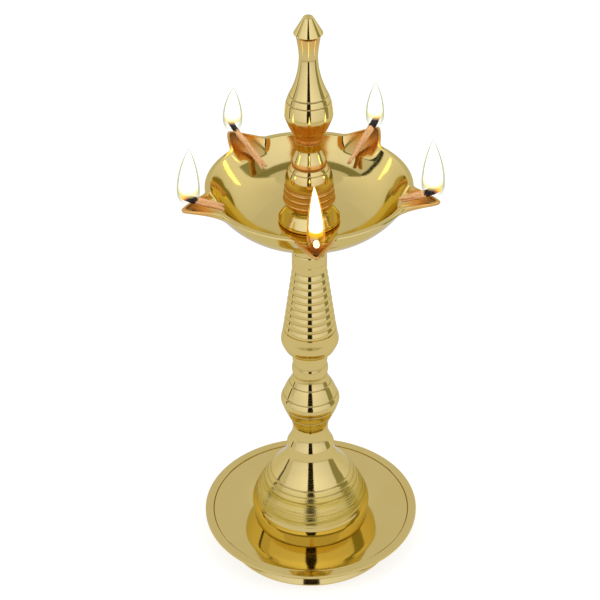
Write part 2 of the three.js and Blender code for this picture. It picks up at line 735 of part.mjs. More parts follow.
const washerZ = CROWN_UNDER_Z - SEAT_GAP - WASHER_THICKNESS;
const nutZ = washerZ - SEAT_GAP - NUT_HEIGHT;
const kneeZ = COLUMN_SEAT_Z - SEAT_GAP;
const finialKneeZ = FINIAL_TOP_SEAT_Z - SEAT_GAP;

add('base', base(), castBrass, 0);
add('base_washer', ring(SOCKET_R, WASHER_R, WASHER_THICKNESS), steel, washerZ);
add('base_nut', nut(), steel, nutZ);
addStud('base_stud', STUD_R, nutZ - NUT_TAIL, KNOP_SEAT_Z + THREAD_ENGAGED);
add('knop_stem', knop(), brass, KNOP_SEAT_Z);
addStud('stem_stud', STUD_R, kneeZ - THREAD_ENGAGED, COLUMN_SEAT_Z + THREAD_ENGAGED);
add('ribbed_column', column(), brass, COLUMN_SEAT_Z);
add('lower_bowl_washer', ring(SOCKET_R, LOWER_SEAL_R, SEAL_THICKNESS), rubber, LOWER_SEAL_Z);
addStud('bowl_stud', STUD_R, COLUMN_TOP_Z - THREAD_ENGAGED, FINIAL_SEAT_Z + THREAD_ENGAGED);
add('five_spout_bowl', bowl(), brass, BOWL_SEAT_Z).rotation.z = radians(-90);
add('upper_bowl_washer', ring(SOCKET_R, UPPER_SEAL_R, SEAL_THICKNESS), rubber, UPPER_SEAL_Z);
add('finial_base', finialBase(), brass, FINIAL_SEAT_Z);
addStud(
  'finial_stud',
  FINIAL_STUD_R,
  finialKneeZ - FINIAL_THREAD_ENGAGED,
  FINIAL_TOP_SEAT_Z + FINIAL_THREAD_ENGAGED,
);
add('finial_top', finialTop(), brass, FINIAL_TOP_SEAT_Z);

// The wicks' middle line passes the inner end of each channel at this distance
const wickLift = WICK_R + WICK_CLEARANCE;
const wickTurn = radians(WICK_SLOPE);
const lip = channelLine().start;
const passR = lip.x - wickLift * Math.sin(wickTurn);
const passZ = BOWL_SEAT_Z + lip.y + wickLift * Math.cos(wickTurn);
const wickTipR = SPOUT_TIP_R + WICK_PAST_SPOUT;
const wickTipZ = passZ + (wickTipR - passR) * Math.tan(wickTurn);

// One wick in each spout, from the front one on, anticlockwise seen from above
const places = ['front', 'right', 'back_right', 'back_left', 'left'];
places.forEach((place, spout) => {
  const turn = radians(spout * SPOUT_STEP - 90);
  const mesh = add(`wick_${place}`, wick(), cotton, wickTipZ);
  mesh.position.x = wickTipR * Math.cos(turn);
  mesh.position.y = wickTipR * Math.sin(turn);
  mesh.rotation.z = turn;
});

export default lamp;
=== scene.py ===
"""A standing oil lamp of turned and polished brass, with five lit cotton wicks.

Each turned section is an outline carried round the lamp's axis. The bowl is such an
outline too, pulled outwards into five spouts. A wick is two plies of cotton twisted
round each other, and a flame is a drop of fire that rises from the wick's tip.
Outlines are in millimetres, as [radius, height above the section's own seat].
"""

import json
import math

import bmesh
import bpy
import numpy as np
from mathutils import Matrix, Vector

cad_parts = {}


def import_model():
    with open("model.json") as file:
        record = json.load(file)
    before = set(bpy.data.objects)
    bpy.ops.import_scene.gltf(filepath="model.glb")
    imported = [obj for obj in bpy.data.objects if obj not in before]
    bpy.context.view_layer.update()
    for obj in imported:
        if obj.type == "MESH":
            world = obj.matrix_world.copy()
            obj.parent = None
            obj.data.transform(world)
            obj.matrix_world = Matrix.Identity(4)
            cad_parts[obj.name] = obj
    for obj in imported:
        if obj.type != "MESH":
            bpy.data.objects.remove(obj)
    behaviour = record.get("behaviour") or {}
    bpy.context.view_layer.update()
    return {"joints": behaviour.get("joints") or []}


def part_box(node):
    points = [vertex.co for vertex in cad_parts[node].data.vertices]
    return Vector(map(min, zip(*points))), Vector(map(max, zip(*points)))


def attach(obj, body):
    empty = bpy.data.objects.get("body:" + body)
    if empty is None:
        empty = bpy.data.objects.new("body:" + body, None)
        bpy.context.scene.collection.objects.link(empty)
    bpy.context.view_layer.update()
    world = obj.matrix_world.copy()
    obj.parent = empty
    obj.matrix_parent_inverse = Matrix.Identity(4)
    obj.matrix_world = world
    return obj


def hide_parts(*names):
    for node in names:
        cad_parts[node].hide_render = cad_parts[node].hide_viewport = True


MM = 0.001

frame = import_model()

# The lamp's axis, and how finely things are cut
low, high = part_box("ribbed_column")
AXIS = np.array([(low.x + high.x) / 2, (low.y + high.y) / 2, 0.0])
OUTLINE_STEP = 0.05
OUTLINE_REACH = 1.1
OUTLINE_BEND = math.radians(3.5)
STEM_SEGMENTS = 144
BASE_SEGMENTS = 208
SMALL_SEGMENTS = 72
THREAD_SEGMENTS = 48
NUT_SEGMENTS = 96
PLY_SEGMENTS = 28
FLAME_SEGMENTS = 40
WICK_ROWS = 150
FLAME_ROWS = 30
EDGE_ROUND = 0.14
MERGE = 1e-7

# Camera, as it stood for the photograph
LENS = 119.42
SENSOR = 36.0
CAMERA_DISTANCE = 1.0557
CAMERA_ELEVATION = math.radians(34.99)
CAMERA_TURN = math.radians(-2.5)
CAMERA_ROLL = math.radians(-0.494)
LOOK_RIGHT = -0.005135
LOOK_HEIGHT = 0.16075

# Heights on the bell between which the turning tool's marks show and painted shade darkens it
BELL_MARKS_AND_SHADE = (28, 48)

# Bowl and spouts
BOWL_R = 53.4
BOWL_HEIGHT = 25.0
BOWL_RIM_WIDTH = 3.1
BOWL_FLOOR = 3.0
BOWL_LIP = 0.4
SPOUT_TIP_R = 68.4
SPOUT_END_R = 65.4
SPOUT_HALF_ANGLE = 11.0
SPOUT_TIP_ROUND = 0.09
SPOUT_FLARE = 1.2
SPOUT_SOOT = 0.95
CHANNEL_START_Z = 18.3
CHANNEL_END_Z = 24.4
KEEL_START_Z = 17.0
KEEL_TIP_Z = 23.3
SPOUTS = ("front", "right", "back_right", "back_left", "left")
SECTOR = 360 / len(SPOUTS)

# Beads of the column: how far up each bead its crest lies, and how deep the groove between
RIB_COUNT = 9
RIB_PITCH = 4.24
RIB_CREST = 0.32
RIB_DEPTH = 0.55

# How scorched the finial's parts are, with painted warm reflection of the bowl and flames, as
# pairs of a height above the part's seat and a level
FINIAL_BASE_SCORCH_AND_REFLECTION = (
    (0, 0.5), (2, 0), (8.5, 0), (10.5, 0.7), (21, 0.65), (24, 0.1), (32, 0.1), (33.5, 0.8),
    (35.5, 0.6), (36.5, 0),
)
FINIAL_TOP_SCORCH_AND_REFLECTION = (
    (0, 0.95), (3, 0.85), (11, 0.75), (15, 0), (50, 0), (54, 0.3), (57, 0.3), (58, 0),
)

# Studs and their sockets
SOCKET_R = 4.3
SOCKET_DEPTH = 12.3
FINIAL_SOCKET_R = 3.3
THREAD_PITCH = 2.0
THREAD_DEPTH = 0.55
STUD_CHAMFER = 0.9
NUT_ACROSS = 13.0

# Wicks and flames
WICK_LENGTH = 35.0
PLY_R = 1.3
PLY_OFFSET = 0.6
PLY_TURNS = 0.35
WICK_TAILS = {"left": 0.27, "right": 0.33, "back_right": 0.04}
EMBER_SWELL = {"front": 1.3}
TAIL_SPREAD = 0.75
CHAR_LENGTH = 9.0
CHAR_CURL = 0.8
EMBER_LENGTH = 4.0
FLAME_BACK = 4.8
FLAME_FOOT = 5.2
FLAME_WIDEST = 2.6
FLAME_RISE = 22.0
MANTLE = 1.0

# Each flame's height, half its width, and how far its top leans to the right and to the back
FLAMES = {
    "front": (30.5, 3.5, (-0.9, 0.2)),
    "right": (26.8, 4.9, (-0.8, 0.3)),
    "back_right": (20.6, 3.9, (0.2, 0.4)),
    "back_left": (20.0, 4.2, (1.0, 0.2)),
    "left": (26.4, 4.8, (1.3, 0.0)),
}


def smooth(places, steps=24):
    """A curve through the places: each span is the cubic blend of its four nearest places."""
    p = np.asarray(places, float)
    p = np.vstack([2 * p[0] - p[1], p, 2 * p[-1] - p[-2]])
    t = np.linspace(0, 1, steps, endpoint=False)[:, None]
    a, b, c, d = (p[i:len(p) - 3 + i, None] for i in range(4))
    bends = 2 * a - 5 * b + 4 * c - d
    twists = 3 * b - a - 3 * c + d
    spans = (2 * b + (c - a) * t + bends * t**2 + twists * t**3) / 2
    return np.vstack([spans.reshape(-1, 2), p[-2]])


def dense(points):
    """The same outline with a point at every small step along it."""
    points = np.asarray(points, float)
    gaps = np.linalg.norm(np.diff(points, axis=0), axis=1)
    points = points[np.concatenate([[True], gaps > 1e-6])]
    gaps = np.linalg.norm(np.diff(points, axis=0), axis=1)
    along = np.concatenate([[0], np.cumsum(gaps)])
    at = np.linspace(0, along[-1], int(along[-1] / OUTLINE_STEP) + 2)
    return np.column_stack([np.interp(at, along, side) for side in points.T])


def blurred(values, length):
    """Each value becomes the Gaussian mean of its neighbours within about that length."""
    count = max(1, int(3 * length / OUTLINE_STEP))
    reach = np.arange(-count, count + 1) * OUTLINE_STEP
    kernel = np.exp(-0.5 * (reach / length) ** 2)
    kernel /= kernel.sum()
    padded = np.pad(values, count, mode="reflect", reflect_type="odd")
    return np.convolve(padded, kernel, mode="valid")


def eased(points, rounding=EDGE_ROUND):
    """The outline with its corners rounded."""
    return np.column_stack([blurred(side, rounding) for side in dense(points).T])


def crease_of(points):
    """How hollow the outline is at each point: its clockwise bend, up to 1 in a sharp groove."""
    step = np.gradient(points, axis=0)
    heading = np.unwrap(np.arctan2(step[:, 1], step[:, 0]))
    bend = np.gradient(heading) / OUTLINE_STEP
    return np.clip(blurred(np.clip(-bend, 0, 4), 0.16) / 1.6, 0, 1)


def spaced(points, *others):
    """Fewer points along a fine outline: close together where it bends, further apart where
    it runs straight. The values that go with the points are kept for those that stay."""
    step = np.diff(points, axis=0)
    heading = np.unwrap(np.arctan2(step[:, 1], step[:, 0]))
    bend = np.abs(np.diff(heading, prepend=heading[0]))
    effort = np.linalg.norm(step, axis=1) / OUTLINE_REACH + bend / OUTLINE_BEND
    along = np.concatenate([[0], np.cumsum(effort)])
    at = np.linspace(0, along[-1], int(along[-1]) + 2)
    kept = [np.interp(at, along, side) for side in [*points.T, *others]]
    return np.column_stack(kept[:2]), *kept[2:]


def lined(points, heights, half=0.5, depth=0.35):
    """The outline with a V-shaped groove turned into it at each height."""
    points = dense(points)
    for height in heights:
        share = np.clip(1 - np.abs(points[:, 1] - height) / half, 0, None)
        points[:, 0] -= depth * share
    return points


def section(outline, foot=SOCKET_R, head=SOCKET_R):
    """A closed outline: the stud's socket in the foot, the outside, and the socket in the head."""
    height = outline[-1][1]
    below = [[0, SOCKET_DEPTH], [foot, SOCKET_DEPTH], [foot, 0]]
    if head:
        above = [[head, height], [head, height - SOCKET_DEPTH], [0, height - SOCKET_DEPTH]]
    else:
        above = [[0, height]]
    return np.vstack([below, outline, above])


def surface(name, grid, marks=None, wrap_rows=False, wrap_columns=True):
    """A mesh on a grid of points: a face between each four neighbours, with the points that
    fall together at a pole merged. Marks are values on the points, by name."""
    rows, columns = grid.shape[:2]
    index = np.arange(rows * columns).reshape(rows, columns)
    if wrap_rows:
        index = np.vstack([index, index[:1]])
    if wrap_columns:
        index = np.hstack([index, index[:, :1]])
    corners = [index[:-1, :-1], index[:-1, 1:], index[1:, 1:], index[1:, :-1]]
    quads = np.stack(corners, -1).reshape(-1, 4)
    mesh = bpy.data.meshes.new(name)
    mesh.from_pydata((grid.reshape(-1, 3) * MM + AXIS).tolist(), [], quads.tolist())
    for label, values in (marks or {}).items():
        values = np.broadcast_to(values, (rows, columns)).astype(np.float32).ravel()
        mesh.attributes.new(label, "FLOAT", "POINT").data.foreach_set("value", values)
    shape = bmesh.new()
    shape.from_mesh(mesh)
    bmesh.ops.remove_doubles(shape, verts=shape.verts, dist=MERGE)
    bmesh.ops.recalc_face_normals(shape, faces=shape.faces)
    shape.to_mesh(mesh)
    shape.free()
    mesh.shade_smooth()
    return mesh


def place(name, mesh, material, body, slot, *nodes):
    """A finished piece of the lamp: it rides on a body and stands for these nodes."""
    piece = bpy.data.objects.new(name, mesh)
    bpy.context.scene.collection.objects.link(piece)
    mesh.materials.append(material)
    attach(piece, body)
    if nodes:
        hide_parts(*nodes)


def turned(name, outline, seat, segments=STEM_SEGMENTS, rounding=EDGE_ROUND, wrap_rows=False,
           tool_marks_and_shade=None, grime_and_shade=0.8, scorch_and_reflection=((0, 0), (1, 0))):
    """An outline carried round the axis: x = r cos a, y = r sin a, z = seat + height. Marks for
    the finish: painted shade in its creases, the turning tool's marks and painted shade between
    two heights, and scorch with painted warm reflection through pairs of a height and a level."""
    points = eased(outline, rounding)
    points, crease = spaced(points, crease_of(points))
    turn = np.linspace(0, 2 * np.pi, segments, endpoint=False)
    radius, height = points[:, :1], points[:, 1:]
    grid = np.stack([radius * np.cos(turn), radius * np.sin(turn), seat + height + 0 * turn], -1)
    # The crease mark, times its strength, is painted shade in the outline's hollows; the scorch
    # mark is heat tint with painted warm reflection
    marks = {"crease": crease[:, None] * grime_and_shade, "scorch_and_reflection": np.interp(height, *zip(*scorch_and_reflection))}
    if tool_marks_and_shade:
        start, end = tool_marks_and_shade
        marks["tool_marks_and_shade"] = ramp(height, start, start + 3) * ramp(height, end, end - 7)
    return surface(name, grid, marks, wrap_rows)


def seat_of(node):
    """The height of a node's foot, in millimetres."""
    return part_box(node)[0].z / MM


# Outlines of the turned sections

def base_outline():
    """Foot ring, flared wall, dished plate, skirt, bell and crown, and the hollow below."""
    foot = smooth([
        [48.2, 0.3], [47.6, 1.4], [46.3, 4.3], [45.2, 8.2], [45.1, 11], [46.6, 13.2], [50.2, 14.5],
    ])
    rim = [[58, 15.9], [60, 16.4], [60, 18], [55.6, 18]]
    groove = [[55.25, 17.2], [54.8, 17.65]]
    dish = smooth([[54.8, 17.65], [50, 17.05], [45.4, 16.4], [38.4, 15], [31.2, 13.5]])
    skirt = smooth([[31.5, 13.6], [31.9, 16], [32.4, 19.3], [32.85, 22.3]])
    bell = smooth([
        [33, 23.9], [32.8, 25.9], [32.1, 28.3], [31, 31], [29.6, 34], [28, 37.2], [26.2, 40.5],
        [24.4, 43.4], [22.5, 46.2], [19.4, 50], [16.8, 53.3], [14.8, 56.5], [13.4, 59.5],
        [12.7, 62.3], [12.3, 65],
    ])
    bell = lined(bell, [40.4, 43.3, 46.2], 0.5, 0.3)
    crown = [[SOCKET_R, 65], [SOCKET_R, 59]]
    lining = smooth([
        [10.9, 59], [14.8, 51.7], [21.8, 42.6], [28.2, 31], [30.2, 23.9], [29.0, 18], [28.2, 11.3],
    ])
    inside = smooth([[42, 12.8], [42.2, 8.2], [43.3, 4.3], [45.2, 0]])
    sole = [[48, 0], [48.2, 0.3]]
    return np.vstack([foot, rim, groove, dish, skirt, bell, crown, lining, inside, sole])


def knop_outline():
    """Flared foot, two ringed steps, belly, shoulder, and a neck with one bead."""
    foot = smooth([
        [13.05, 0.5], [12.3, 2.1], [11.1, 4.5], [10.2, 7.2], [9.8, 10.6], [10.15, 14.2],
        [11.1, 17.4], [12.7, 20.9],
    ])
    waist = smooth([[12.7, 20.9], [13.95, 23.9], [15.2, 27.3], [16.1, 31.2], [14.9, 34.8]])
    neck = smooth([[14.9, 34.8], [13.2, 38.9], [11.4, 42.3], [10.0, 45.2], [9.25, 48]])
    bead = smooth([[9.25, 48], [9.7, 49.6], [9.9, 51.4], [9.7, 53.2], [9.2, 55.1]])
    head = smooth([[9.2, 55.1], [9.6, 58.5], [9.6, 63.1]])
    outline = np.vstack([[[12.55, 0]], foot, waist, neck, bead, head])
    return section(lined(outline, [20.9, 27.3, 34.8, 42.3]))


def column_outline():
    """Cup, nine beads on a taper, and a plain neck with two turned lines."""
    ribs_from = 15.0
    ribs_to = ribs_from + RIB_COUNT * RIB_PITCH
    cup = smooth([
        [13.3, 1.8], [14.35, 3.9], [15.3, 6.2], [15.6, 7.8], [15.4, 9.6], [14.9, 12], [14.4, 15],
    ])
    taper = dense([[14.4, ribs_from], [9.3, ribs_to]])
    share = ((taper[:, 1] - ribs_from) / RIB_PITCH) % 1
    below, above = (RIB_CREST - share) / RIB_CREST, (share - RIB_CREST) / (1 - RIB_CREST)
    from_crest = np.where(share < RIB_CREST, below, above)
    taper[:, 0] -= RIB_DEPTH * from_crest**2
    neck = [[9.3, ribs_to + 0.5], [9.3, 78.96]]
    outline = np.vstack([[[10.4, 0]], cup, taper, neck])
    outline = lined(outline, [3.6], 0.4, 0.25)
    outline = lined(outline, [64.5], 0.5, 0.35)
    return section(lined(outline, [58.2], 0.35, 0.12))


def finial_base_outline():
    """Flared foot, cove, three raised rings, bulge, shoulder, and a flared waist."""
    cove = smooth([
        [15.8, 1.3], [14.6, 3.1], [13.35, 5.1], [12.25, 7.0], [12.0, 8.6], [12.4, 10.2],
        [13.1, 11.6],
    ])
    rings = dense([[13.2, 11.6], [12.2, 20.4]])
    for height in (12.5, 15.9, 19.3):
        rings[:, 0] += 0.42 * np.exp(-(((rings[:, 1] - height) / 0.42) ** 2))
    bulge = smooth([[12.0, 20.6], [12.3, 23.0], [11.9, 26.2], [10.9, 29.2], [9.0, 32.3]])
    waist = smooth([[9.1, 33.9], [8.6, 36], [7.55, 38.6], [6.8, 41.2], [6.7, 43.4], [7.6, 47.2]])
    edge = [[13.8, 0], [14.2, -0.7], [15.4, -0.8], [15.9, 0.2], [15.9, 1.0]]
    outline = lined(np.vstack([edge, cove, rings, bulge, [[8.6, 32.5]], waist]), [30.3], 0.35, 0.2)
    return section(outline, SOCKET_R, FINIAL_SOCKET_R)


def finial_top_outline():
    """Collar, bottle-shaped body with two turned lines, throat, and a pointed spire."""
    body = smooth([
        [7.75, 1.0], [7.85, 3.0], [8.55, 4.8], [9.64, 6.6], [11.03, 10.0], [12.1, 13.0],
        [12.3, 15.4], [12.0, 18.2], [11.3, 21.6], [9.95, 25.3], [8.53, 28.4], [7.07, 32.3],
        [6.0, 36.2], [5.2, 40.4], [4.77, 45.6], [5.04, 50.2], [5.6, 54.2], [6.15, 57.6],
    ])
    spire = [[7.35, 59.1], [2.9, 66.9], [2.45, 67.7], [1.6, 68.25], [0, 68.4]]
    outline = np.vstack([[[7.6, 0]], lined(body, [21.9, 25.4], 0.5, 0.32)])
    return np.vstack([section(outline, FINIAL_SOCKET_R, None)[:-1], spire])


def ring_outline(inner, outer, thickness):
    """A flat ring's outline, from the middle of its inner wall and round to it again."""
    seam = [inner, thickness / 2]
    return [seam, [inner, 0], [outer, 0], [outer, thickness], [inner, thickness], seam]


# The bowl

def bowl_inside():
    """The inside of the wall, from the flat floor up to the rim."""
    rim = BOWL_R - BOWL_RIM_WIDTH
    rise = BOWL_HEIGHT - BOWL_FLOOR
    return smooth([
        [14, BOWL_FLOOR],
        [rim * 0.43, BOWL_FLOOR + rise * 0.03],
        [rim * 0.618, BOWL_FLOOR + rise * 0.147],
        [rim * 0.762, BOWL_FLOOR + rise * 0.33],
        [rim * 0.885, BOWL_HEIGHT * 0.665],
        [rim, BOWL_HEIGHT - BOWL_LIP],
    ])


def bowl_outside():
    """The outside of the wall, from the flat boss up to the rim."""
    return smooth([
        [14, 0],
        [BOWL_R * 0.45, BOWL_HEIGHT * 0.06],
        [BOWL_R * 0.6, BOWL_HEIGHT * 0.16],
        [BOWL_R * 0.75, BOWL_HEIGHT * 0.33],
        [BOWL_R * 0.885, BOWL_HEIGHT * 0.61],
        [BOWL_R, BOWL_HEIGHT - 2 * BOWL_LIP],
    ])


def spout_share(degrees):
    """How much of a spout's length is left at an angle from its middle line: 1 on the line
    and 0 past the half angle, falling almost straight, with a rounded tip and a flared root."""
    across = np.hypot(degrees / SPOUT_HALF_ANGLE, SPOUT_TIP_ROUND) - SPOUT_TIP_ROUND
    return np.clip(1 - across, 0, 1) ** SPOUT_FLARE


def ramp(values, start, end):
    """0 at the start, 1 at the end, and straight between them."""
    return np.clip((values - start) / (end - start), 0, 1)


def bowl_mesh(seat):
    """The bowl: r = wall radius + pull x share(angle), where the pull at each wall point is
    how far it lies from the keel line outside, or from the channel's bottom line inside. The
    marks scorch the spouts, blacken their tips inside with soot, and darken the outline's hollows
    with painted shade."""
    outside, inside = bowl_outside(), bowl_inside()[::-1]
    rim = [[BOWL_R - BOWL_LIP, BOWL_HEIGHT], [BOWL_R - BOWL_RIM_WIDTH + BOWL_LIP, BOWL_HEIGHT]]
    wall = np.vstack([[[SOCKET_R, 0]], outside, rim, inside, [[SOCKET_R, BOWL_FLOOR]]])
    points = eased(wall, 0.25)
    points, crease = spaced(points, crease_of(points))
    radius, height = points.T
    top = np.argmax(height)
    beyond = np.arange(len(points)) > top
    keel_r = np.interp(KEEL_START_Z, outside[:, 1], outside[:, 0])
    channel_r = np.interp(CHANNEL_START_Z, inside[::-1, 1], inside[::-1, 0])
    keel_share = ramp(height, KEEL_START_Z, KEEL_TIP_Z)
    keel = keel_r + (SPOUT_TIP_R - keel_r) * keel_share
    keel = np.where(keel_share >= 1, SPOUT_TIP_R - np.clip(BOWL_R - radius, 0, None), keel)
    channel_share = ramp(height, CHANNEL_START_Z, CHANNEL_END_Z)
    channel = channel_r + (SPOUT_END_R - channel_r) * channel_share
    flat = ramp(radius, BOWL_R - BOWL_RIM_WIDTH, BOWL_R - BOWL_LIP)
    lip = SPOUT_END_R + flat * (SPOUT_TIP_R - BOWL_LIP - SPOUT_END_R)
    channel = np.where(channel_share >= 1, lip, channel)
    reach = np.where(beyond, channel, keel)
    started = np.where(beyond, channel_share, keel_share) > 0
    pull = np.where(started, np.clip(reach - radius, 0, None), 0)

    half = SPOUT_HALF_ANGLE * np.linspace(0, 1, 34) ** 1.25
    rest = np.linspace(SPOUT_HALF_ANGLE * (1 + 2 * SPOUT_TIP_ROUND), SECTOR / 2, 9)
    side = np.concatenate([half[:-1], rest])
    sector = np.concatenate([side, SECTOR - side[1:-1][::-1]])
    angles = np.concatenate([sector + SECTOR * spout for spout in range(len(SPOUTS))])
    offset = angles - np.round(angles / SECTOR) * SECTOR
    share = spout_share(offset)
    turn = np.radians(angles - 90)
    r = radius[:, None] + pull[:, None] * share
    grid = np.stack([r * np.cos(turn), r * np.sin(turn), seat + height[:, None] + 0 * turn], -1)
    inner = 0.55 + 0.45 * beyond[:, None]
    scorch_and_reflection = ramp(r, 46, 56) * ramp(share, 0.0, 0.3) * inner
    soot = SPOUT_SOOT * ramp(r, 56, 64) * ramp(share, 0.1, 0.4) * beyond[:, None]
    # The crease mark: painted shade in the outline's hollows, with real soot at the spouts' tips
    marks = {"crease": np.maximum(crease[:, None], soot), "scorch_and_reflection": scorch_and_reflection}
    return surface("five_spout_bowl_skin", grid, marks, wrap_rows=True)


# Studs and nut

def stud_mesh(name, node, radius):
    """A screw thread: the radius falls and rises by the thread's depth once a pitch along the
    stud and once a turn round it, and the ends are chamfered."""
    low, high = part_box(node)
    length = (high.z - low.z) / MM
    turn = np.linspace(0, 2 * np.pi, THREAD_SEGMENTS, endpoint=False)
    height = np.linspace(0, length, int(length / THREAD_PITCH * 14))[:, None]
    phase = (height / THREAD_PITCH - turn / (2 * np.pi)) % 1
    ends = np.minimum(height, length - height)
    r = np.minimum(radius - THREAD_DEPTH * np.abs(2 * phase - 1), radius - STUD_CHAMFER + ends)
    r = np.vstack([0 * turn, r, 0 * turn])
    height = np.vstack([[[0]], height, [[length]]])
    grid = np.stack([r * np.cos(turn), r * np.sin(turn), low.z / MM + height + 0 * turn], -1)
    return surface(name, grid, {"crease": 0.0})


def nut_mesh(name, node, across=NUT_ACROSS):
    """A hexagon whose corners are cut by a cone above and below: r is the smaller of the two."""
    low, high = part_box(node)
    thickness = (high.z - low.z) / MM
    turn = np.linspace(0, 2 * np.pi, NUT_SEGMENTS, endpoint=False)
    flat = across / 2 / np.cos((turn + np.pi / 6) % (np.pi / 3) - np.pi / 6)
    height = np.array([0, 0, 0.25, 0.5, 0.8, 1.2])
    height = np.concatenate([height, thickness - height[::-1]])[:, None]
    ends = np.minimum(height, thickness - height)
    r = np.minimum(flat, across / 2 + 0.1 + 1.6 * ends)
    r[0] = r[-1] = SOCKET_R
    grid = np.stack([r * np.cos(turn), r * np.sin(turn), low.z / MM + height + 0 * turn], -1)
    return surface(name, grid, {"crease": 0.0}, wrap_rows=True)


# Wicks and flames

def wick_line(place_name):
    """A wick's middle, in millimetres from the lamp's axis, and its three directions: along it
    from tail to tip, up, and across."""
    joint = next(j for j in frame["joints"] if j["name"] == f"wick_{place_name}_push")
    along = np.array(joint["axis"], float)
    across = np.cross([0, 0, 1], along)
    across /= np.linalg.norm(across)
    up = np.cross(along, across)
    low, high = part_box(f"wick_{place_name}")
    middle = (np.array(low) + np.array(high)) / 2 / MM - AXIS / MM
    return middle, along, up, across


def wick_mesh(place_name, number):
    """Two plies: tubes whose centres wind round the wick's line, spread at the tail and drawn
    together at the charred tip, with ridges of fibre along them."""
    middle, along, up, across = wick_line(place_name)
    rng = np.random.default_rng(11 + number)
    tail = WICK_TAILS.get(place_name, 0.0)
    swell = EMBER_SWELL.get(place_name, 1.0) - 1
    s = np.concatenate([[tail], np.linspace(tail, 1, WICK_ROWS), [1]])[:, None]
    around = np.linspace(0, 2 * np.pi, PLY_SEGMENTS, endpoint=False)
    from_middle = (s - 0.5) * WICK_LENGTH
    from_tip = (1 - s) * WICK_LENGTH
    burnt = ramp(from_tip, CHAR_LENGTH, 0)
    curl = CHAR_CURL * burnt**2
    round_tip = np.sqrt(np.clip(1 - ramp(from_tip, 0.9, 0) ** 2, 0, 1))
    round_tail = np.sqrt(np.clip(1 - ramp(s, tail + 0.02, tail) ** 2, 0, 1))
    char = ramp(from_tip, CHAR_LENGTH + 1.2, CHAR_LENGTH - 1.5)
    ember = ramp(from_tip, EMBER_LENGTH, 0.5)

    shape = bmesh.new()
    for ply in range(2):
        lead = rng.uniform(0, 2 * np.pi)
        if ply == 1:
            lead = start
        wind = 2 * np.pi * PLY_TURNS * s + np.pi * ply + lead
        start = wind[0, 0]
        offset = PLY_OFFSET * (1 - 0.3 * burnt) + TAIL_SPREAD * ramp(s, tail + 0.12, tail)
        radius = PLY_R * (1 - 0.1 * burnt**1.3)
        radius = radius * (1 + 0.05 * np.sin(23 * s + rng.uniform(0, 6)))
        radius = radius * (1 + swell * ramp(from_tip, 5, 1.5))
        radius = radius * (0.55 + 0.45 * ramp(s, tail, tail + 0.22))
        twist = around + 3.2 * wind
        ridges = 1 + 0.07 * np.sin(7 * twist) + 0.05 * np.sin(11 * twist + 40 * s)
        ridges = ridges + 0.03 * np.sin(170 * s + 3 * around)
        r = radius * round_tip * round_tail * ridges
        rise = offset * np.cos(wind) + curl + r * np.cos(around)
        aside = offset * np.sin(wind) + r * np.sin(around)
        spots = middle + from_middle[..., None] * along + rise[..., None] * up
        spots = spots + aside[..., None] * across
        marks = {"char": char, "ember": ember, "fibre": twist / (2 * np.pi)}
        mesh = surface(f"ply_{number}_{ply}", spots, marks)
        shape.from_mesh(mesh)
        bpy.data.meshes.remove(mesh)
    joined = bpy.data.meshes.new(f"wick_{place_name}_cotton")
    shape.to_mesh(joined)
    shape.free()
    joined.shade_smooth()
    return joined


def flame_mesh(name, place_name, grow):
    """A drop of fire: below its widest place the half width is that of a half ellipse, and
    above it the sine of the share of the way down from the point. The top leans over."""
    height, half_width, lean = FLAMES[place_name]
    middle, along = wick_line(place_name)[:2]
    root = middle + along * (WICK_LENGTH / 2 - FLAME_BACK)
    tip_height = (along * FLAME_BACK)[2]
    t = np.linspace(0, 1, FLAME_ROWS)[:, None]
    below = -(FLAME_FOOT + FLAME_WIDEST + grow) * np.cos(t * np.pi / 2)
    above = (height - FLAME_WIDEST + grow) * t[1:]
    rise = np.vstack([below, above])
    from_point = (1 - t[1:]) ** 0.9
    width = np.vstack([np.sin(t * np.pi / 2), np.sin(from_point * np.pi / 2)])
    width = width * (half_width + grow)
    turn = np.linspace(0, 2 * np.pi, FLAME_SEGMENTS, endpoint=False)
    bow = np.clip(rise / height, 0, None) ** 1.5
    x = root[0] + width * np.cos(turn) + lean[0] * bow
    y = root[1] + width * np.sin(turn) + lean[1] * bow
    z = root[2] + tip_height + FLAME_WIDEST + rise + 0 * turn
    marks = {"rise": ramp(rise, -FLAME_FOOT - FLAME_WIDEST, FLAME_RISE)}
    return surface(name, np.stack([x, y, z], -1), marks)


# Materials

BRASS = (0.80, 0.62, 0.165, 1)
BRASS_WARM = (0.79, 0.60, 0.15, 1)
# A darker, duller brass painted on the bell's marked band as shade
BRASS_PAINTED_SHADE = (0.56, 0.39, 0.03, 1)
# Dark pits and soot, and painted shade in creases
BRASS_DIRT_AND_SHADE = (0.17, 0.10, 0.03, 1)
# Copper-brown of scorch, which on the finial is also painted warm reflection
BRASS_SCORCH_AND_REFLECTION = (0.84, 0.30, 0.02, 1)
BRASS_GRAZING = (0.86, 0.82, 0.56, 1)
BRASS_ROUGH = 0.03
BRASS_RELIEF = 0.25
STREAK_DEPTH = 34.0


def material_tree(name):
    """A new material, its node tree and its main shader."""
    material = bpy.data.materials.new(name)
    material.use_nodes = True
    tree = material.node_tree
    return material, tree, tree.nodes["Principled BSDF"]


def node(tree, kind, inputs=None, **settings):
    """A node with its settings, and its inputs set or linked."""
    made = tree.nodes.new(kind)
    for key, value in settings.items():
        setattr(made, key, value)
    for key, value in (inputs or {}).items():
        if isinstance(value, bpy.types.NodeSocket):
            tree.links.new(value, made.inputs[key])
        else:
            made.inputs[key].default_value = value
    return made


def maths(tree, operation, a, b, clamp=False):
    """One sum on two numbers."""
    made = node(tree, "ShaderNodeMath", {0: a, 1: b}, operation=operation, use_clamp=clamp)
    return made.outputs[0]


